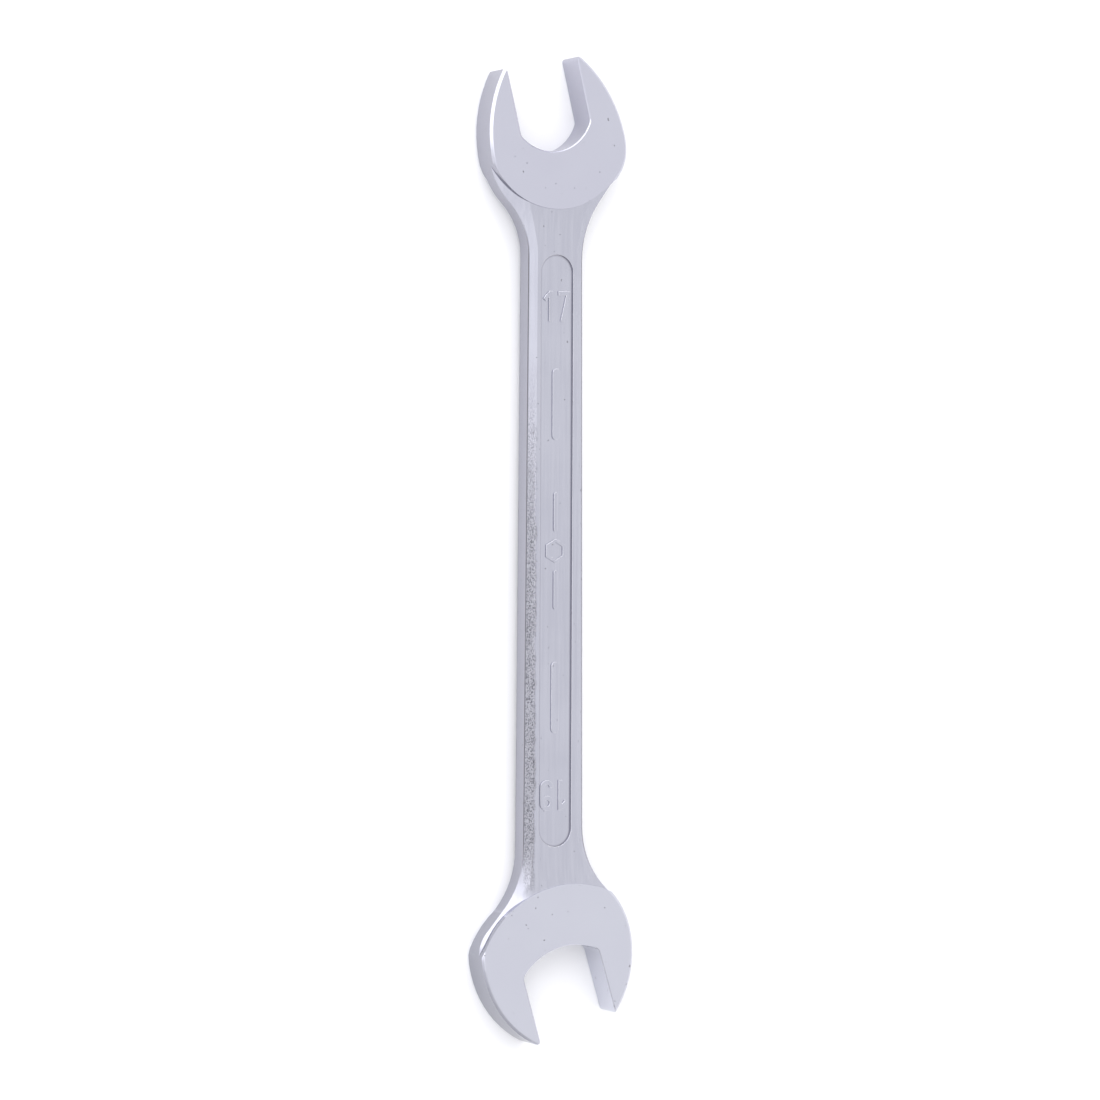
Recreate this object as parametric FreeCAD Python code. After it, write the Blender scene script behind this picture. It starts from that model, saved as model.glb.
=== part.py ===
import FreeCAD, Part
import math
import os

from FreeCAD import Vector

# Double open-ended wrench, one forging. Millimetres.
# X runs along the shank towards the 17 end. Z is up, out of the upper marked face.

# Jaw openings: the nominal size across flats plus the running clearance
size_17 = 17.0
size_19 = 19.0
jaw_clearance = 0.2

# Overall layout
centre_distance = 175.2
head_thickness = 7.8

# Head of the 17 end. Lengths are measured from its centre, out along the mouth.
mouth_tilt_17 = 13.5
body_tilt_17 = 14.5
head_radius_17 = 16.45
side_radius_17 = 29.5
shoulder_depth_17 = 1.5
shoulder_radius_17 = 9.5
reach_upper_17 = 19.6
reach_lower_17 = 19.0
throat_radius_17 = 10.0
throat_bottom_17 = -0.4
head_shift_17 = -0.2

# Head of the 19 end
mouth_tilt_19 = 16.5
body_tilt_19 = 9.5
head_radius_19 = 18.35
side_radius_19 = 23.0
shoulder_depth_19 = 2.65
shoulder_radius_19 = 7.0
reach_upper_19 = 18.1
reach_lower_19 = 18.0
throat_radius_19 = 15.0
throat_bottom_19 = -0.9
head_shift_19 = -0.6

# Flattened rear corner of each head, on the side the mouth turns away from. The straight run
# goes on past the round of the head by the overrun, so that it ends inside the shank.
shoulder_turn = 40.5
shoulder_overrun = 6.0

# Corners seen from above
tip_outer_radius = 3.0
tip_inner_radius = 1.3
throat_corner_radius = 2.0

# Broken edges round the head faces: how far in and how far down
outer_break = 0.55
mouth_break = 0.2

# Rim arc that ends each raised head face towards the shank. Past its wrap angles, measured from
# straight back, the rim runs on straight until it leaves the outline.
rim_radius_17 = 16.8
rim_distance_17 = 13.0
rim_turn_17 = 14.0
rim_wraps_17 = (70.0, 38.0)
rim_radius_19 = 23.2
rim_distance_19 = 14.1
rim_turn_19 = 22.7
rim_wraps_19 = (60.0, 80.0)
rim_step = 0.25
rim_run = 0.3
rim_wall_length = 70.0

# Shank
shank_width_17 = 12.8
shank_width_19 = 14.6
shank_thickness = 6.0
side_wall_height = 4.0
bevel_slope = 0.55
neck_radius_17 = 16.0
neck_radius_shoulder_17 = 22.0
neck_radius_19 = 19.0
neck_radius_shoulder_19 = 20.0
neck_ramp_length = 7.0

# Marking panel sunk into both faces of the shank
panel_length = 129.3
panel_width = 7.9
panel_depth = 0.5

# Marks standing in the panel
mark_height = 0.35
mark_stroke = 0.9
digit_height = 6.6
digit_width = 2.9
digit_gap = 0.9
size_mark_inset = 11.3
pad_length = 15.5
pad_width = 1.8
pad_distance = 32.0
badge_flats = 4.6
badge_stroke = 0.6
badge_bar_length = 8.5
badge_bar_gap = 1.6

# Values that follow from the ones above
head_top = head_thickness / 2
shank_top = shank_thickness / 2
wall_top = side_wall_height / 2
bevel_run = (head_top - wall_top) / bevel_slope
panel_floor = shank_top - panel_depth
mark_root = panel_floor - mark_height
opening_17 = size_17 + jaw_clearance
opening_19 = size_19 + jaw_clearance
end_17 = centre_distance / 2
end_19 = -centre_distance / 2
sharp_reach = 19.6


def arc_edge(centre, radius, start_angle, end_angle, z):
    """Arc in a level plane, angles in degrees and counter-clockwise."""
    points = []
    for angle in (start_angle, (start_angle + end_angle) / 2, end_angle):
        turn = math.radians(angle)
        x = centre[0] + radius * math.cos(turn)
        y = centre[1] + radius * math.sin(turn)
        points.append(Vector(x, y, z))
    return Part.Arc(points[0], points[1], points[2]).toShape()


def polygon_face(points, z):
    corners = [Vector(x, y, z) for x, y in points]
    return Part.Face(Part.makePolygon(corners + [corners[0]]))


def prism(face, height):
    return face.extrude(Vector(0, 0, height))


def placed(shape, centre, shift, angle):
    """Turn a shape made in a head's own frame and move it to its end of the wrench."""
    shape.rotate(Vector(0, 0, 0), Vector(0, 0, 1), angle)
    shape.translate(Vector(centre, shift, 0))
    return shape


def head_body(radius, side_radius, shoulder_depth, shoulder_radius):
    """Head before its mouth is cut: a round rear half, and two flatter arcs towards the tips."""
    set_back = side_radius - radius
    tip_angle = math.degrees(math.asin(sharp_reach / side_radius))
    tip_y = side_radius * math.cos(math.radians(tip_angle)) - set_back
    z = -head_top
    rear = arc_edge((0, 0), radius, 90, 270, z)
    lower = arc_edge((0, set_back), side_radius, 270, 270 + tip_angle, z)
    front = Part.makeLine(Vector(sharp_reach, -tip_y, z), Vector(sharp_reach, tip_y, z))
    upper = arc_edge((0, -set_back), side_radius, 90 - tip_angle, 90, z)
    solid = prism(Part.Face(Part.Wire([rear, lower, front, upper])), head_thickness)
    return flattened(solid, radius, shoulder_depth, shoulder_radius)


def flattened(solid, radius, depth, blend):
    """Trade the shoulder of the round rear for a straight run that reaches the shank."""
    size = 2 * radius
    away = 180 + shoulder_turn
    distance = radius - depth
    half_chord = math.sqrt(radius ** 2 - distance ** 2)
    block = Part.makeBox(size, 2 * size, 2 * head_thickness, Vector(distance, -size, -head_thickness))
    run_end = -half_chord - shoulder_overrun
    filler = prism(polygon_face([(0, 0), (distance, 0), (distance, run_end)], -head_top), head_thickness)
    block.rotate(Vector(0, 0, 0), Vector(0, 0, 1), away)
    filler.rotate(Vector(0, 0, 0), Vector(0, 0, 1), away)
    solid = solid.cut(block).fuse(filler).removeSplitter()
    turn = math.radians(away) + math.acos(distance / radius)
    corner = Vector(radius * math.cos(turn), radius * math.sin(turn), 0)
    edges = [edge for edge in upright_edges(solid) if edge.BoundBox.Center.distanceToPoint(corner) < 0.01]
    return solid.makeFillet(blend, edges)


def mouth_cutter(opening, throat_radius, throat_bottom):
    """Space between the jaw flats, closed at the back by the round throat."""
    length = 60.0
    height = 2 * head_thickness
    z = -head_thickness
    strip = Part.makeBox(length, opening, height, Vector(throat_bottom - 1, -opening / 2, z))
    throat_centre = throat_bottom + throat_radius
    throat = Part.makeCylinder(throat_radius, height, Vector(throat_centre, 0, z))
    front = Part.makeBox(length, 2 * throat_radius, height, Vector(throat_centre, -throat_radius, z))
    mouth = strip.common(throat.fuse(front)).removeSplitter()
    corners = [edge for edge in upright_edges(mouth) if 0 < edge.BoundBox.Center.x < throat_centre]
    return mouth.makeFillet(throat_corner_radius, corners)


def tip_trimmer(reach_upper, reach_lower):
    """Space past the end of each jaw. The two jaws end at their own distances."""
    size = 30.0
    height = 2 * head_thickness
    upper = Part.makeBox(size, size, height, Vector(reach_upper, 0, -head_thickness))
    lower = Part.makeBox(size, size, height, Vector(reach_lower, -size, -head_thickness))
    return upper.fuse(lower)


def upright_edges(solid):
    found = []
    for edge in solid.Edges:
        run = edge.BoundBox
        if run.ZLength > 1 and run.XLength < 1e-4 and run.YLength < 1e-4:
            found.append(edge)
    return found


def place_in_mouth(edge, centre, shift, angle):
    """Where an upright edge stands in the frame of a mouth."""
    turn = math.radians(angle)
    x = edge.BoundBox.Center.x - centre
    y = edge.BoundBox.Center.y - shift
    return x * math.cos(turn) + y * math.sin(turn), y * math.cos(turn) - x * math.sin(turn)


def neck_corner(solid, centre, side):
    """Upright edge where the shank's side runs into the head's rear."""
    found = None
    for edge in upright_edges(solid):
        place = edge.BoundBox.Center
        behind_head = place.x * centre > 0 and abs(place.x) < abs(centre) - 5
        if behind_head and place.y * side > 0:
            if found is None or abs(place.y) < abs(found.BoundBox.Center.y):
                found = edge
    return found


def whole_plan():
    """Outline of the wrench without its mouths, at the full thickness of the heads."""
    head_a = head_body(head_radius_17, side_radius_17, shoulder_depth_17, shoulder_radius_17)
    head_b = head_body(head_radius_19, side_radius_19, shoulder_depth_19, shoulder_radius_19)
    placed(head_a, end_17, head_shift_17, body_tilt_17)
    placed(head_b, end_19, head_shift_19, 180 + body_tilt_19)
    half_a = shank_width_17 / 2
    half_b = shank_width_19 / 2
    corners = [(end_19, -half_b), (end_17, -half_a), (end_17, half_a), (end_19, half_b)]
    strip = prism(polygon_face(corners, -head_top), head_thickness)
    solid = head_a.fuse([head_b, strip]).removeSplitter()
    for centre, side, radius in (
        (end_17, 1, neck_radius_17),
        (end_17, -1, neck_radius_shoulder_17),
        (end_19, 1, neck_radius_shoulder_19),
        (end_19, -1, neck_radius_19),
    ):
        solid = solid.makeFillet(radius, [neck_corner(solid, centre, side)])
    return solid


def cut_mouth(solid, opening, throat_radius, throat_bottom, reaches, centre, shift, angle):
    """Trim the jaws to length, cut the mouth and round the corners seen from above."""
    trimmer = placed(tip_trimmer(reaches[0], reaches[1]), centre, shift, angle)
    solid = solid.cut(trimmer).removeSplitter()
    outer = corners_at(solid, centre, shift, angle, lambda x, y: abs(y) > 5 and at_tip(x, y, reaches))
    solid = solid.makeFillet(tip_outer_radius, outer)
    mouth = mouth_cutter(opening, throat_radius, throat_bottom)
    tips = [tip_rounder(opening / 2, reaches[0], 1), tip_rounder(opening / 2, reaches[1], -1)]
    cutters = [mouth] + tips + flares(mouth)
    for cutter in cutters:
        placed(cutter, centre, shift, angle)
    return solid.cut(cutters).removeSplitter()


def flares(mouth):
    """Slopes that break the edges of a mouth at both head faces."""
    outline = lowest_outline(mouth)
    outline.translate(Vector(0, 0, head_top - mouth_break - outline.BoundBox.ZMin))
    wider = outline.makeOffset2D(2 * mouth_break, 2)
    wider.translate(Vector(0, 0, 2 * mouth_break))
    upper = Part.makeLoft([outline, wider], True, True)
    return [upper, upper.mirror(Vector(0, 0, 0), Vector(0, 0, 1))]


def lowest_outline(solid):
    """Outer wire of a prism's bottom face."""
    low = min(solid.Faces, key=lambda face: face.BoundBox.ZMax)
    return low.OuterWire.copy()


def at_tip(x, y, reaches):
    return abs(x - (reaches[0] if y > 0 else reaches[1])) < 0.01


def tip_rounder(half_opening, reach, side):
    """Sliver between a square corner and its rounding, on the inner side of a jaw tip."""
    radius = tip_inner_radius
    height = 2 * head_thickness
    low = half_opening if side > 0 else -half_opening - radius
    corner = Part.makeBox(2 * radius, radius, height, Vector(reach - radius, low, -head_thickness))
    axis = Vector(reach - radius, side * (half_opening + radius), -head_thickness)
    return corner.cut(Part.makeCylinder(radius, height, axis))


def corners_at(solid, centre, shift, angle, test):
    """Upright edges whose place in the mouth's frame passes the test."""
    found = []
    for edge in upright_edges(solid):
        x, y = place_in_mouth(edge, centre, shift, angle)
        if test(x, y):
            found.append(edge)
    return found


def plan_with_mouths(plan):
    solid = cut_mouth(
        plan, opening_17, throat_radius_17, throat_bottom_17,
        (reach_upper_17, reach_lower_17), end_17, head_shift_17, mouth_tilt_17,
    )
    return cut_mouth(
        solid, opening_19, throat_radius_19, throat_bottom_19,
        (reach_upper_19, reach_lower_19), end_19, head_shift_19, 180 + mouth_tilt_19,
    )


def turned_solid(points, centre):
    """Turn a closed profile of (radius, z) points round an upright axis."""
    corners = [Vector(radius, 0, z) for radius, z in points]
    face = Part.Face(Part.makePolygon(corners + [corners[0]]))
    solid = face.revolve(Vector(0, 0, 0), Vector(0, 0, 1), 360)
    solid.translate(centre)
    return solid


def rim_centre(centre, shift, side, distance, radius, turn):
    """Axis of the rim arc, so that the rim crosses at its distance from the head's centre."""
    angle = math.radians(turn)
    back = radius - distance
    return Vector(centre + side * back * math.cos(angle), shift + side * back * math.sin(angle), 0)


def rim_block(centre, radius, wraps, turn):
    """Everything inside the rim: a steep cone behind, opened out by straight walls to the front."""
    profile = [(0, -head_top), (radius, -head_top), (radius + rim_run, 0), (radius, head_top), (0, head_top)]
    block = turned_solid(profile, Vector(0, 0, 0))
    corners = []
    for wrap, side in ((wraps[0], 1), (wraps[1], -1)):
        angle = math.radians(180 - side * wrap)
        x = radius * math.cos(angle)
        y = radius * math.sin(angle)
        run_x = side * rim_wall_length * math.sin(angle)
        run_y = -side * rim_wall_length * math.cos(angle)
        corners.append([(x, y), (x + run_x, y + run_y)])
    outline = [corners[0][0], corners[0][1], corners[1][1], corners[1][0]]
    block = block.fuse(prism(polygon_face(outline, -head_top), head_thickness))
    block.rotate(Vector(0, 0, 0), Vector(0, 0, 1), turn)
    block.translate(centre)
    return block


def neck_ramp(centre, radius):
    """Shallow cove that lets the shank's face rise towards the rim, up to the small step."""
    top = head_top - rim_step
    rise = top - shank_top
    sweep = math.atan2(rise, neck_ramp_length) * 2
    cove = neck_ramp_length / math.sin(sweep)
    outer = radius + neck_ramp_length
    middle = Vector(outer - cove * math.sin(sweep / 2), 0, shank_top + cove * (1 - math.cos(sweep / 2)))
    foot = Vector(outer, 0, shank_top)
    crest = Vector(radius, 0, top)
    up = Part.Arc(crest, middle, foot).toShape()
    down = Part.Arc(mirrored(foot), mirrored(middle), mirrored(crest)).toShape()
    wall = Part.makeLine(foot, mirrored(foot))
    low = Part.makeLine(mirrored(crest), Vector(0, 0, -top))
    axis = Part.makeLine(Vector(0, 0, -top), Vector(0, 0, top))
    high = Part.makeLine(Vector(0, 0, top), crest)
    face = Part.Face(Part.Wire([up, wall, down, low, axis, high]))
    solid = face.revolve(Vector(0, 0, 0), Vector(0, 0, 1), 360)
    solid.translate(centre)
    return solid


def mirrored(point):
    return Vector(point.x, point.y, -point.z)


def sloped_plan(plan, wall, run):
    """The plan with upright walls up to one height, then an even slope inwards to the top."""
    outline = lowest_outline(plan)
    outline.translate(Vector(0, 0, wall + head_top))
    inner = outline.makeOffset2D(-run)
    inner.translate(Vector(0, 0, head_top - wall))
    roof = Part.makeLoft([outline, inner], True, True)
    floor = roof.mirror(Vector(0, 0, 0), Vector(0, 0, 1))
    core = prism(Part.Face(outline), -2 * wall)
    return core.fuse([roof, floor]).removeSplitter()


def rims():
    axis_a = rim_centre(end_17, head_shift_17, 1, rim_distance_17, rim_radius_17, rim_turn_17)
    axis_b = rim_centre(end_19, head_shift_19, -1, rim_distance_19, rim_radius_19, rim_turn_19)
    return [(axis_a, rim_radius_17), (axis_b, rim_radius_19)]


def slot_face(length, width, z):
    """Straight-sided outline with half-round ends, lying along X."""
    half = length / 2 - width / 2
    right = arc_edge((half, 0), width / 2, -90, 90, z)
    left = arc_edge((-half, 0), width / 2, 90, 270, z)
    top = Part.makeLine(Vector(half, width / 2, z), Vector(-half, width / 2, z))
    bottom = Part.makeLine(Vector(-half, -width / 2, z), Vector(half, -width / 2, z))
    return Part.Face(Part.Wire([right, top, left, bottom]))


def stroke(points):
    """Flat-ended bar of the mark stroke's width along a straight run between two points."""
    start = Vector(points[0][0], points[0][1], 0)
    end = Vector(points[1][0], points[1][1], 0)
    along = (end - start).normalize()
    side = Vector(-along.y, along.x, 0) * (mark_stroke / 2)
    corners = [start + side, end + side, end - side, start - side]
    return prism(polygon_face([(p.x, p.y) for p in corners], mark_root), 2 * mark_height)


def ring(centre, radius):
    z = mark_root
    place = Vector(centre[0], centre[1], z)
    outside = Part.makeCylinder(radius, 2 * mark_height, place)
    inside = Part.makeCylinder(radius - mark_stroke, 2 * mark_height, place)
    return outside.cut(inside)


def digit_one():
    half = digit_height / 2
    stem = stroke([(0.5, -half), (0.5, half)])
    flag = stroke([(0.5 - mark_stroke / 4, half - mark_stroke / 2), (-1.0, half - 1.9)])
    return stem.fuse(flag).removeSplitter()


def digit_seven():
    half = digit_height / 2
    reach = digit_width / 2
    bar = stroke([(-reach, half - mark_stroke / 2), (reach, half - mark_stroke / 2)])
    leg = stroke([(reach - mark_stroke / 2, half - mark_stroke / 2), (-reach / 3, -half)])
    return bar.fuse(leg).removeSplitter()


def digit_nine():
    half = digit_height / 2
    radius = digit_width / 2 + 0.15
    bowl = ring((0, half - radius), radius)
    tail = ring((0, -half + radius), radius)
    keep = Part.makeBox(2 * radius, radius, 2 * mark_height, Vector(-radius, -half, mark_root))
    stem = stroke([(radius - mark_stroke / 2, -half + radius), (radius - mark_stroke / 2, half - radius)])
    return bowl.fuse([tail.common(keep), stem]).removeSplitter()


def size_mark(digits, x, turn):
    """Two digits side by side. Drawn upright along Y, then turned to face an end."""
    pitch = (digit_width + digit_gap) / 2
    digits[0].translate(Vector(-pitch, 0, 0))
    digits[1].translate(Vector(pitch, 0, 0))
    pair = digits[0].fuse(digits[1])
    pair.rotate(Vector(0, 0, 0), Vector(0, 0, 1), turn)
    pair.translate(Vector(x, 0, 0))
    return pair


def hexagon(flats, z, height):
    corner = flats / math.sqrt(3)
    points = []
    for step in range(6):
        turn = math.radians(60 * step)
        points.append((corner * math.cos(turn), corner * math.sin(turn)))
    return prism(polygon_face(points, z), height)


def plain_marks():
    """Blank pads and a hexagon outline, in the places where a maker's text would stand."""
    height = 2 * mark_height
    marks = []
    for x in (pad_distance, -pad_distance):
        pad = prism(slot_face(pad_length, pad_width, mark_root), height)
        pad.translate(Vector(x, 0, 0))
        marks.append(pad)
    outside = hexagon(badge_flats, mark_root, height)
    inside = hexagon(badge_flats - 2 * badge_stroke, mark_root, height)
    marks.append(outside.cut(inside))
    corner = badge_flats / math.sqrt(3)
    for side in (1, -1):
        bar = prism(slot_face(badge_bar_length, badge_stroke * 1.5, mark_root), height)
        bar.translate(Vector(side * (corner + badge_bar_gap + badge_bar_length / 2), 0, 0))
        marks.append(bar)
    return marks


def marked_panel(body):
    """Sink the panel into both faces and stand the marks on its floor."""
    recess = prism(slot_face(panel_length, panel_width, panel_floor), head_thickness)
    size_mark_x = panel_length / 2 - size_mark_inset
    marks = plain_marks()
    marks.append(size_mark([digit_one(), digit_seven()], size_mark_x, -90))
    marks.append(size_mark([digit_one(), digit_nine()], -size_mark_x, 90))
    under = [turned_over(shape) for shape in [recess] + marks]
    body = body.cut([recess, under[0]])
    return body.fuse(marks + under[1:]).removeSplitter()


def turned_over(shape):
    """The same shape for the lower face, reading the right way round from below."""
    lower = shape.copy()
    lower.rotate(Vector(0, 0, 0), Vector(1, 0, 0), 180)
    return lower


def wrench_body():
    """Raised heads and bevelled shank, joined, with the upper and lower faces alike."""
    plan = whole_plan()
    open_plan = plan_with_mouths(plan)
    (axis_a, radius_a), (axis_b, radius_b) = rims()
    size = 2 * centre_distance
    slab = Part.makeBox(size, 60, shank_thickness, Vector(-size / 2, -30, -shank_top))
    heights = slab.fuse([neck_ramp(axis_a, radius_a), neck_ramp(axis_b, radius_b)])
    shank = sloped_plan(plan, wall_top, bevel_run).common(heights).common(open_plan)
    blocks = rim_block(axis_a, radius_a, rim_wraps_17, 0)
    blocks = blocks.fuse(rim_block(axis_b, radius_b, rim_wraps_19, 180))
    heads = sloped_plan(plan, head_top - outer_break, outer_break).common(blocks).common(open_plan)
    return heads.fuse(shank).removeSplitter()


def stood_on_origin(body):
    """Move the body so that the origin is under the middle of its box."""
    box = body.optimalBoundingBox(False, False)
    body.translate(Vector(-box.Center.x, -box.Center.y, -box.ZMin))
    return body


os.makedirs("parts", exist_ok=True)
wrench = stood_on_origin(marked_panel(wrench_body()))
wrench.Solids[0].exportStep("parts/wrench_forging.step")
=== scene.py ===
import math

import bmesh
import bpy
from mathutils import Matrix, Vector


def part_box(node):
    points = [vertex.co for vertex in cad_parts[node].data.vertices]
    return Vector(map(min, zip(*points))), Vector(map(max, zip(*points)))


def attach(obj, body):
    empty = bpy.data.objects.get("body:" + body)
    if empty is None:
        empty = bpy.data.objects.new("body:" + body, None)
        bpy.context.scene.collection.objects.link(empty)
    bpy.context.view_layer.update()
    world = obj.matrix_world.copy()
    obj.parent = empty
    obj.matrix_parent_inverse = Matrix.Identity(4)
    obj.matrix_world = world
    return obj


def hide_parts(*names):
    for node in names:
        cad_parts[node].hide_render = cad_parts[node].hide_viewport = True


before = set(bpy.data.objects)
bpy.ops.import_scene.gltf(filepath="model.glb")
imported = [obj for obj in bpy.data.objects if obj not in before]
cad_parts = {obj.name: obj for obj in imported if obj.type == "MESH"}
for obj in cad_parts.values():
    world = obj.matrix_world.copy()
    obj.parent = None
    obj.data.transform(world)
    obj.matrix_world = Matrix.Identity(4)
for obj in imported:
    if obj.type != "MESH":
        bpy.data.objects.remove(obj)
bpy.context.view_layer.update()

# Double open-ended wrench, lying flat on its two heads. Lengths in metres.
MM = 0.001
wrench_low, wrench_high = (Vector(corner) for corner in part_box("wrench_forging"))
wrench_middle = (wrench_low + wrench_high) / 2
shank_middle_y = wrench_middle.y + 0.63 * MM

# Hand polish: how far crisp edges are rounded over, how far the crests of the shank and of the marks
# are, and the turn from which an edge counts as one of them
edge_round = 0.14 * MM
crest_round = 0.27 * MM
edge_turn = math.radians(24)
crest_turn = math.radians(20)
round_steps = 3

# Corners nearer than this are one corner, and faces that turn less than this are one face
same_place = 0.002 * MM
same_plane = math.radians(0.3)

# Shading: edges that turn more than this stay sharp, and how strongly large faces hold their normal
sharp_turn = math.radians(40)
flat_weight = 90

# Half of the thickness over the heads and up the shank's side walls
head_face = (wrench_high.z - wrench_low.z) / 2
side_wall = 2.0 * MM

# Marking panel sunk into both faces of the shank
panel_length = 129.3 * MM
panel_width = 7.9 * MM
panel_middle_x = wrench_middle.x - 0.18 * MM

# Mouths: the centre of the head, the tilt of the mouth and half of its opening
head_reach = 87.6 * MM
centre_17 = Vector((panel_middle_x + head_reach, shank_middle_y - 0.2 * MM))
centre_19 = Vector((panel_middle_x - head_reach, shank_middle_y - 0.6 * MM))
mouth_17 = (centre_17, math.radians(13.5), 8.6 * MM)
mouth_19 = (centre_19, math.radians(16.5), 9.6 * MM)

# Depths below the head faces at which the edges are soft: the shank's faces and the marks' tops
shank_face = 0.9 * MM
mark_face = 1.05 * MM

# Band along the +Y bevel where the forged skin was left rough under the plate
rough_low_y = shank_middle_y + 4.6 * MM
rough_high_y = shank_middle_y + 7.2 * MM
rough_start_x = 48 * MM
rough_full_x = -5 * MM
rough_fade_x = -62 * MM
rough_end_x = -79 * MM

# Where the jaws begin and the painted dark line at the foot of the shank's bevels fades, either way from
# the middle
jaw_start = 78 * MM
jaw_full = 80 * MM
bevel_shade_full = 62 * MM
bevel_shade_end = 74 * MM

# Between which places the heads turn lighter, and the walls' painted shade darker, towards the 19 end
head_blend = -80 * MM, 80 * MM
wall_painted_shade_blend = -95 * MM, -60 * MM

# Shades of the plate and of what lies on it
head_shades = (0.54, 0.54, 0.62, 1), (0.6, 0.61, 0.67, 1)
shank_shades = (0.485, 0.49, 0.555, 1), (0.525, 0.53, 0.595, 1)
# Painted shade on the side walls, darker at the 19 end
wall_painted_shade_19 = (0.34, 0.345, 0.39, 1)
wall_painted_shade_17 = (0.41, 0.41, 0.465, 1)
# Painted shade on the 17 jaw's flats and painted light on the 19 jaw's flats
jaw_flat_painted_shade_17 = (0.46, 0.46, 0.53, 1)
jaw_flat_painted_light_19 = (0.6, 0.61, 0.68, 1)
# Painted highlight on the proud edges of the marks and of the panel
edge_painted_highlight = (0.93, 0.93, 0.95, 1)
pit_shade = (0.3, 0.3, 0.33, 1)
# Painted shade along the foot of the marking panel's edge
panel_foot_painted_shade = (0.38, 0.38, 0.43, 1)
# Painted shade for the fine dark line at the foot of the shank's bevels
bevel_foot_painted_shade = (0.16, 0.16, 0.18, 1)
skin_shade = (0.38, 0.38, 0.42, 1)
skin_pit_shade = (0.13, 0.13, 0.15, 1)

# Camera, its lens and sensor in millimetres
camera_lens = 134.6
camera_sensor = 36
camera_distance = 0.9
camera_tilt = math.radians(26.45)
camera_pitch = math.radians(-0.6)
camera_roll = math.radians(0.25)
camera_aim = Vector((wrench_middle.x, shank_middle_y, wrench_middle.z))

# Table top
table_size = 8

# Light tent: its even brightness, and then for each part of it that is brighter or darker, the way
# it lies, where its soft edge starts and ends on that way, and how much it adds
tent_light = 1.1
tent_parts = (
    (Vector((0, 1, 0)), -0.2, 0.5, 0.22),
    (Vector((0.8, 0.35, -0.35)).normalized(), 0.06, 0.17, 1.1),
    (Vector((-0.7, 0.55, -0.1)).normalized(), 0.55, 0.9, -0.55),
)


def select_only(piece):
    bpy.ops.object.select_all(action="DESELECT")
    piece.select_set(True)
    bpy.context.view_layer.objects.active = piece


# The studio

def make_floor():
    """Plain pale table top under the wrench."""
    bpy.ops.object.select_all(action="DESELECT")
    bpy.ops.mesh.primitive_plane_add(size=table_size, location=(0, 0, wrench_low.z))
    floor = bpy.context.active_object
    floor.name = "table_top"
    floor.data.materials.append(matt_white())


def matt_white():
    material = bpy.data.materials.new("matt_white")
    material.use_nodes = True
    shader = material.node_tree.nodes["Principled BSDF"]
    shader.inputs["Base Color"].default_value = (0.95, 0.95, 0.952, 1)
    shader.inputs["Roughness"].default_value = 0.9
    return material


def white_room():
    """A light tent: even overhead, about twice as bright towards +X, darker towards one corner."""
    world = bpy.data.worlds.new("white_room")
    bpy.context.scene.world = world
    world.use_nodes = True
    nodes = world.node_tree.nodes
    links = world.node_tree.links
    backdrop = nodes["Background"]
    backdrop.inputs["Color"].default_value = (0.972, 0.972, 1.0, 1)
    way = nodes.new("ShaderNodeTexCoord").outputs["Generated"]
    brightness = nodes.new("ShaderNodeValue").outputs[0]
    brightness.default_value = tent_light
    for towards, low, high, light in tent_parts:
        facing = nodes.new("ShaderNodeVectorMath")
        facing.operation = "DOT_PRODUCT"
        facing.inputs[1].default_value = towards
        share = nodes.new("ShaderNodeMapRange")
        share.interpolation_type = "SMOOTHSTEP"
        share.inputs["From Min"].default_value = low
        share.inputs["From Max"].default_value = high
        share.inputs["To Max"].default_value = light
        total = nodes.new("ShaderNodeMath")
        links.new(way, facing.inputs[0])
        links.new(facing.outputs["Value"], share.inputs["Value"])
        links.new(share.outputs["Result"], total.inputs[0])
        links.new(brightness, total.inputs[1])
        brightness = total.outputs[0]
    links.new(brightness, backdrop.inputs["Strength"])


def add_camera():
    """Looks down on the marked face from its +Y side, with the 17 end at the top."""
    lens = bpy.data.cameras.new("camera")
    lens.lens = camera_lens
    lens.sensor_width = camera_sensor
    camera = bpy.data.objects.new("camera", lens)
    bpy.context.scene.collection.objects.link(camera)
    turn = Matrix.Rotation(-camera_tilt, 4, "X") @ Matrix.Rotation(-math.pi / 2, 4, "Z")
    turn = turn @ Matrix.Rotation(camera_pitch, 4, "X")
    place = camera_aim + (turn @ Vector((0, 0, camera_distance)))
    turn = turn @ Matrix.Rotation(camera_roll, 4, "Z")
    camera.matrix_world = Matrix.Translation(place) @ turn
    bpy.context.scene.camera = camera


# The finish

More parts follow.
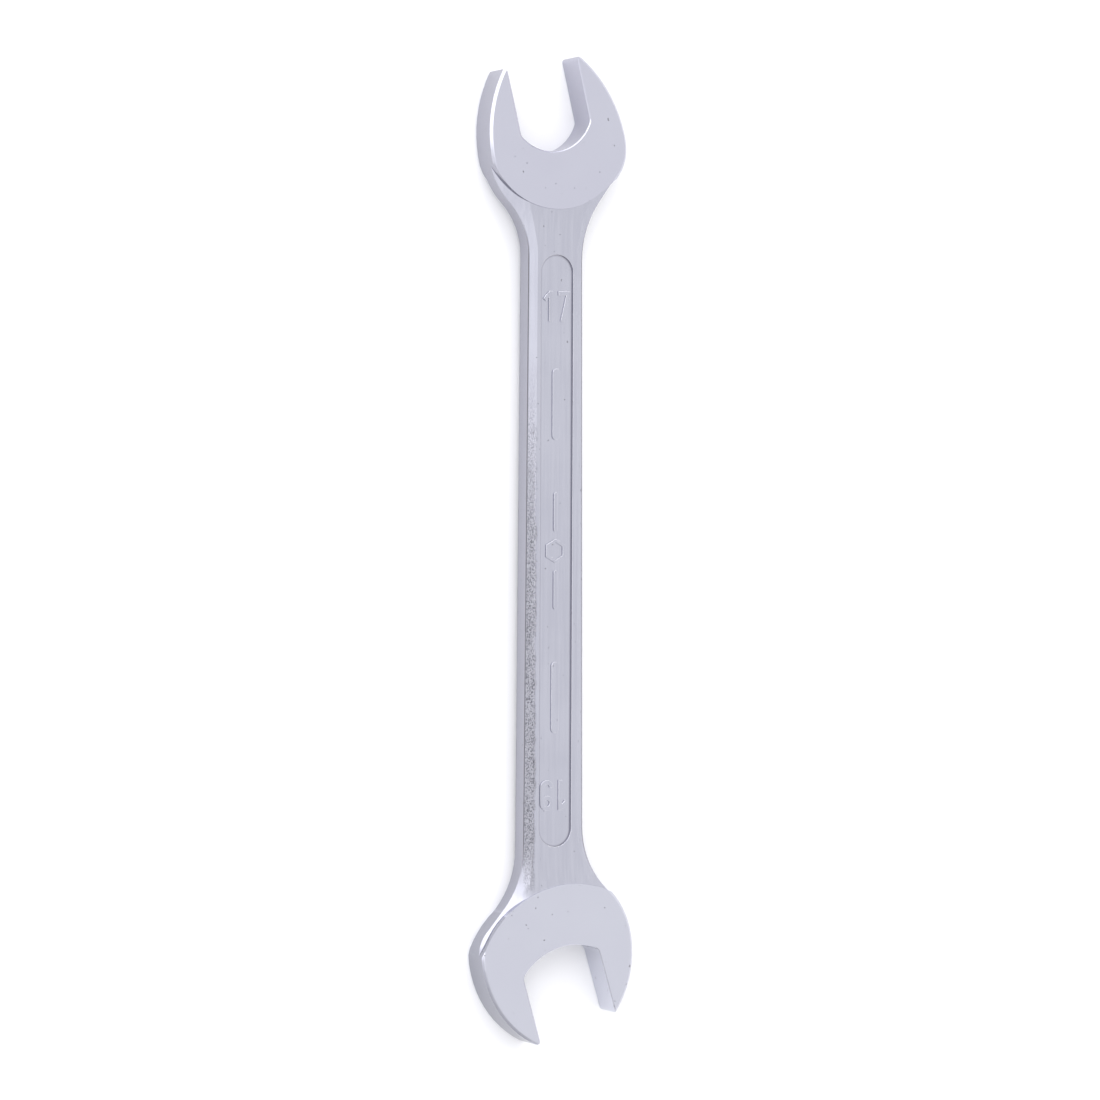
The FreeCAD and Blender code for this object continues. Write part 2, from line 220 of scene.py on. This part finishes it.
class Finish:
    """One material's nodes, read in the order in which they are laid down."""

    def __init__(self, name, colour, roughness, metallic):
        self.material = bpy.data.materials.new(name)
        self.material.use_nodes = True
        self.nodes = self.material.node_tree.nodes
        self.links = self.material.node_tree.links
        self.shader = self.nodes["Principled BSDF"]
        self.shader.inputs["Base Color"].default_value = colour
        self.shader.inputs["Roughness"].default_value = roughness
        self.shader.inputs["Metallic"].default_value = metallic
        place = self.nodes.new("ShaderNodeTexCoord")
        self.place = place.outputs["Object"]
        split = self.nodes.new("ShaderNodeSeparateXYZ")
        self.links.new(self.place, split.inputs[0])
        self.x, self.y, self.z = split.outputs
        facing = self.nodes.new("ShaderNodeSeparateXYZ")
        self.links.new(place.outputs["Normal"], facing.inputs[0])
        self.facing_up = self.maths("ABSOLUTE", facing.outputs["Z"])
        self.height = self.maths("ABSOLUTE", self.maths("SUBTRACT", self.z, wrench_middle.z))

    def grain(self, size, detail=3.0, stretch=(1, 1, 1), roughness=0.5):
        """Noise whose lumps are about this size, drawn out along an axis by its stretch."""
        scale = self.nodes.new("ShaderNodeMapping")
        scale.inputs["Scale"].default_value = [1 / (size * s) for s in stretch]
        noise = self.nodes.new("ShaderNodeTexNoise")
        noise.inputs["Scale"].default_value = 1.0
        noise.inputs["Detail"].default_value = detail
        noise.inputs["Roughness"].default_value = roughness
        self.links.new(self.place, scale.inputs["Vector"])
        self.links.new(scale.outputs[0], noise.inputs["Vector"])
        return noise.outputs["Fac"]

    def spread(self, value, low, high, to_low=0.0, to_high=1.0):
        """Smooth step from one limit to the other."""
        step = self.nodes.new("ShaderNodeMapRange")
        step.interpolation_type = "SMOOTHSTEP"
        step.inputs["From Min"].default_value = low
        step.inputs["From Max"].default_value = high
        step.inputs["To Min"].default_value = to_low
        step.inputs["To Max"].default_value = to_high
        self.links.new(value, step.inputs["Value"])
        return step.outputs["Result"]

    def maths(self, operation, *values):
        step = self.nodes.new("ShaderNodeMath")
        step.operation = operation
        for socket, value in zip(step.inputs, values):
            if isinstance(value, (int, float)):
                socket.default_value = value
            else:
                self.links.new(value, socket)
        return step.outputs[0]

    def relief(self, height, depth, under=None):
        """Bump of this depth, laid over the bump before it."""
        bump = self.nodes.new("ShaderNodeBump")
        bump.inputs["Distance"].default_value = depth
        bump.inputs["Strength"].default_value = 1.0
        self.links.new(height, bump.inputs["Height"])
        if under is not None:
            self.links.new(under, bump.inputs["Normal"])
        return bump.outputs["Normal"]

    def tint(self, value, under, over):
        """The colour under where the value is 0, and the colour over where it is 1."""
        ramp = self.nodes.new("ShaderNodeMix")
        ramp.data_type = "RGBA"
        for socket, colour in ((ramp.inputs[6], under), (ramp.inputs[7], over)):
            if isinstance(colour, tuple):
                socket.default_value = colour
            else:
                self.links.new(colour, socket)
        self.links.new(value, ramp.inputs["Factor"])
        return ramp.outputs[2]

    def feed(self, value, socket):
        self.links.new(value, self.shader.inputs[socket])


def rough_band(finish):
    """How much of the forged skin shows, from 0 to 1: a ragged band along the +Y bevel."""
    wander = finish.grain(5 * MM, detail=6.0, roughness=0.7)
    shift = finish.maths("MULTIPLY", finish.maths("SUBTRACT", wander, 0.5), 2.2 * MM)
    ragged_y = finish.maths("ADD", finish.y, shift)
    inner = finish.spread(ragged_y, rough_low_y, rough_low_y + 0.8 * MM)
    outer = finish.spread(ragged_y, rough_high_y - 0.5 * MM, rough_high_y, 1.0, 0.0)
    start = finish.spread(finish.x, rough_full_x, rough_start_x, 1.0, 0.0)
    end = finish.spread(finish.x, rough_end_x, rough_fade_x, 0.0, 1.0)
    above_wall = finish.spread(finish.height, side_wall, side_wall + 0.15 * MM)
    below_head = finish.spread(finish.height, head_face - 0.5 * MM, head_face - 0.3 * MM, 1.0, 0.0)
    on_bevel = finish.maths("MULTIPLY", above_wall, below_head)
    across = finish.maths("MULTIPLY", finish.maths("MULTIPLY", inner, outer), on_bevel)
    along = finish.maths("MULTIPLY", start, end)
    return finish.maths("MULTIPLY", across, along)


def inside_panel(finish):
    """How far inside the outline of the marking panel a point lies, in metres."""
    straight = (panel_length - panel_width) / 2
    along = finish.maths("ABSOLUTE", finish.maths("SUBTRACT", finish.x, panel_middle_x))
    past_end = finish.maths("MAXIMUM", finish.maths("SUBTRACT", along, straight), 0)
    across = finish.maths("SUBTRACT", finish.y, shank_middle_y)
    across_squared = finish.maths("MULTIPLY", across, across)
    squares = finish.maths("ADD", finish.maths("POWER", past_end, 2), across_squared)
    return finish.maths("SUBTRACT", panel_width / 2, finish.maths("SQRT", squares))


def paint_panel_foot_shade(finish, inside):
    """Painted shade along the foot of the marking panel's edge, from 0 to 1."""
    near_edge = finish.spread(inside, 0.1 * MM, 0.6 * MM, 1.0, 0.0)
    within = finish.spread(inside, -0.1 * MM, 0.0)
    shank_level = head_face - shank_face
    below = finish.spread(finish.height, shank_level - 0.15 * MM, shank_level - 0.02 * MM, 1.0, 0.0)
    return finish.maths("MULTIPLY", finish.maths("MULTIPLY", near_edge, within), below)


def between_flats(finish, centre, tilt, half_opening):
    """1 on and between the two flats of a mouth, 0 outside them."""
    across = finish.maths("MULTIPLY", finish.maths("SUBTRACT", finish.x, centre.x), -math.sin(tilt))
    up = finish.maths("MULTIPLY", finish.maths("SUBTRACT", finish.y, centre.y), math.cos(tilt))
    offset = finish.maths("ABSOLUTE", finish.maths("ADD", across, up))
    strip = finish.spread(offset, half_opening + 0.25 * MM, half_opening + 0.35 * MM, 1.0, 0.0)
    ahead = finish.maths("MULTIPLY", finish.x, 1 if centre.x > 0 else -1)
    return finish.maths("MULTIPLY", strip, finish.spread(ahead, jaw_start, jaw_full))


def polished_faces(finish, cloud):
    """The heads, a little lighter towards the 19 end, and the shank with faint marks of the belt."""
    streaks = finish.grain(0.8 * MM, detail=3.0, stretch=(30, 1, 1))
    ground = finish.spread(finish.height, head_face - 0.3 * MM, head_face - 0.1 * MM)
    towards_19 = finish.spread(finish.x, *head_blend, 0.4, 0.0)
    lightness = finish.maths("ADD", finish.maths("MULTIPLY", cloud, 0.6), towards_19)
    head = finish.tint(lightness, *head_shades)
    half_cloud = finish.maths("MULTIPLY", cloud, 0.5)
    belt = finish.maths("ADD", finish.maths("MULTIPLY", streaks, 0.5), half_cloud)
    shank = finish.tint(finish.spread(belt, 0.35, 0.65), *shank_shades)
    return finish.tint(ground, shank, head)


def paint_wall_and_flat_shade(finish, plate):
    """Painted shade on the side walls, darker than the faces, with painted shade on the 17 jaw's flats
    and painted light on the 19 jaw's flats.
    """
    towards_17 = finish.spread(finish.x, *wall_painted_shade_blend)
    sides = finish.tint(towards_17, wall_painted_shade_19, wall_painted_shade_17)
    # Painted shade on the 17 jaw's flats, painted light on the 19 jaw's flats
    sides = finish.tint(between_flats(finish, *mouth_17), sides, jaw_flat_painted_shade_17)
    sides = finish.tint(between_flats(finish, *mouth_19), sides, jaw_flat_painted_light_19)
    # Painted shade on the walls, chosen by how far the surface turns away from the face
    return finish.tint(finish.spread(finish.facing_up, 0.3, 0.65, 1.0, 0.0), plate, sides)


def paint_edge_highlights(finish, plate, inside):
    """Painted highlight on the sloping proud edges of the marks and of the panel."""
    not_flat = finish.spread(finish.facing_up, 0.9, 0.98, 1.0, 0.0)
    slope = finish.maths("MULTIPLY", not_flat, finish.spread(finish.facing_up, 0.5, 0.6))
    mark_level = head_face - mark_face
    proud = finish.spread(finish.height, mark_level - 0.3 * MM, mark_level - 0.2 * MM)
    near_panel = finish.spread(inside, -0.5 * MM, -0.3 * MM)
    highlight_mask = finish.maths("MULTIPLY", finish.maths("MULTIPLY", slope, proud), near_panel)
    # Painted highlight where the mask is 1
    return finish.tint(highlight_mask, plate, edge_painted_highlight)


def paint_bevel_foot_shade(finish, plate):
    """Painted shade: a fine dark line at the foot of the shank's bevels."""
    from_foot = finish.maths("ABSOLUTE", finish.maths("SUBTRACT", finish.height, side_wall))
    line = finish.spread(from_foot, 0.05 * MM, 0.15 * MM, 1.0, 0.0)
    along_shank = finish.spread(finish.maths("ABSOLUTE", finish.x), bevel_shade_full, bevel_shade_end, 1.0, 0.0)
    return finish.tint(finish.maths("MULTIPLY", line, along_shank), plate, bevel_foot_painted_shade)


def satin_chrome():
    """Chrome plate over forged steel: bright ground heads, a duller shank, walls darkened by painted
    shade, painted highlights and painted dark lines along edges.
    """
    finish = Finish("satin_chrome", (0.55, 0.55, 0.61, 1), 0.24, 1.0)
    cloud = finish.grain(14 * MM, detail=4.0)
    polish = finish.grain(0.5 * MM, detail=3.0, stretch=(6, 1, 1))
    specks = finish.spread(finish.grain(0.9 * MM, detail=1.0), 0.74, 0.8)
    inside = inside_panel(finish)

    plate = polished_faces(finish, cloud)
    plate = paint_wall_and_flat_shade(finish, plate)
    plate = paint_edge_highlights(finish, plate, inside)
    plate = finish.tint(specks, plate, pit_shade)
    # Painted shade in the foot of the panel's edge
    plate = finish.tint(paint_panel_foot_shade(finish, inside), plate, panel_foot_painted_shade)
    # Painted shade along the foot of the shank's bevels
    plate = paint_bevel_foot_shade(finish, plate)

    # Rough forged skin, dark in its pits
    band = rough_band(finish)
    peel = finish.grain(0.25 * MM, detail=4.0, stretch=(1.5, 1, 1), roughness=0.7)
    pits = finish.maths("MULTIPLY", finish.spread(peel, 0.46, 0.58), band)
    skin = finish.tint(band, plate, skin_shade)
    finish.feed(finish.tint(pits, skin, skin_pit_shade), "Base Color")

    dull = finish.maths("MULTIPLY_ADD", polish, 0.08, 0.17)
    finish.feed(finish.maths("ADD", dull, finish.maths("MULTIPLY", band, 0.12)), "Roughness")
    waves = finish.relief(cloud, 0.05 * MM)
    brushed = finish.relief(polish, 0.002 * MM, waves)
    finish.feed(finish.relief(finish.maths("MULTIPLY", peel, band), -0.1 * MM, brushed), "Normal")
    return finish.material


# The wrench

def merge_skin(piece):
    """Join the loose facets of the solid into one skin with whole flat faces."""
    select_only(piece)
    bpy.ops.object.mode_set(mode="EDIT")
    bpy.ops.mesh.select_all(action="SELECT")
    bpy.ops.mesh.remove_doubles(threshold=same_place)
    bpy.ops.mesh.dissolve_limited(angle_limit=same_plane)
    bpy.ops.object.mode_set(mode="OBJECT")


def round_edges(piece, name, width, angle=None):
    """Round the edges that turn more than the angle, or without one the edges marked as crests."""
    rounding = piece.modifiers.new(name, "BEVEL")
    rounding.width = width
    rounding.segments = round_steps
    rounding.limit_method = "WEIGHT" if angle is None else "ANGLE"
    if angle is not None:
        rounding.angle_limit = angle
    rounding.use_clamp_overlap = True
    select_only(piece)
    bpy.ops.object.modifier_apply(modifier=rounding.name)


def mark_crests(piece, depths):
    """Mark the outward edges that lie level at these depths below the face of a head, on both sides."""
    heights = [wrench_high.z - depth for depth in depths] + [wrench_low.z + depth for depth in depths]
    skin = bmesh.new()
    skin.from_mesh(piece.data)
    crest = skin.edges.layers.float.new("bevel_weight_edge")
    for edge in skin.edges:
        if not edge.is_manifold or edge.calc_face_angle_signed() < crest_turn:
            continue
        for height in heights:
            if all(abs(corner.co.z - height) < same_place for corner in edge.verts):
                edge[crest] = 1.0
    skin.to_mesh(piece.data)
    skin.free()


def even_shading(piece):
    """Smooth over the rounded edges, with each flat face kept flat."""
    select_only(piece)
    bpy.ops.object.shade_smooth_by_angle(angle=sharp_turn)
    flats = piece.modifiers.new("true flats", "WEIGHTED_NORMAL")
    flats.weight = flat_weight
    flats.keep_sharp = True
    bpy.ops.object.modifier_apply(modifier=flats.name)


def make_forging():
    """The whole wrench as one skin, its edges rounded by hand polishing."""
    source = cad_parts["wrench_forging"]
    bpy.ops.object.select_all(action="DESELECT")
    forging = bpy.data.objects.new("polished_forging", source.data.copy())
    bpy.context.scene.collection.objects.link(forging)
    merge_skin(forging)
    mark_crests(forging, (shank_face, mark_face))
    round_edges(forging, "soft crests", crest_round)
    round_edges(forging, "polished edges", edge_round, edge_turn)
    even_shading(forging)
    forging.data.materials.clear()
    forging.data.materials.append(satin_chrome())
    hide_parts("wrench_forging")
    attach(forging, "root")


make_floor()
white_room()
add_camera()
make_forging()
bpy.context.scene.view_settings.view_transform = "Standard"
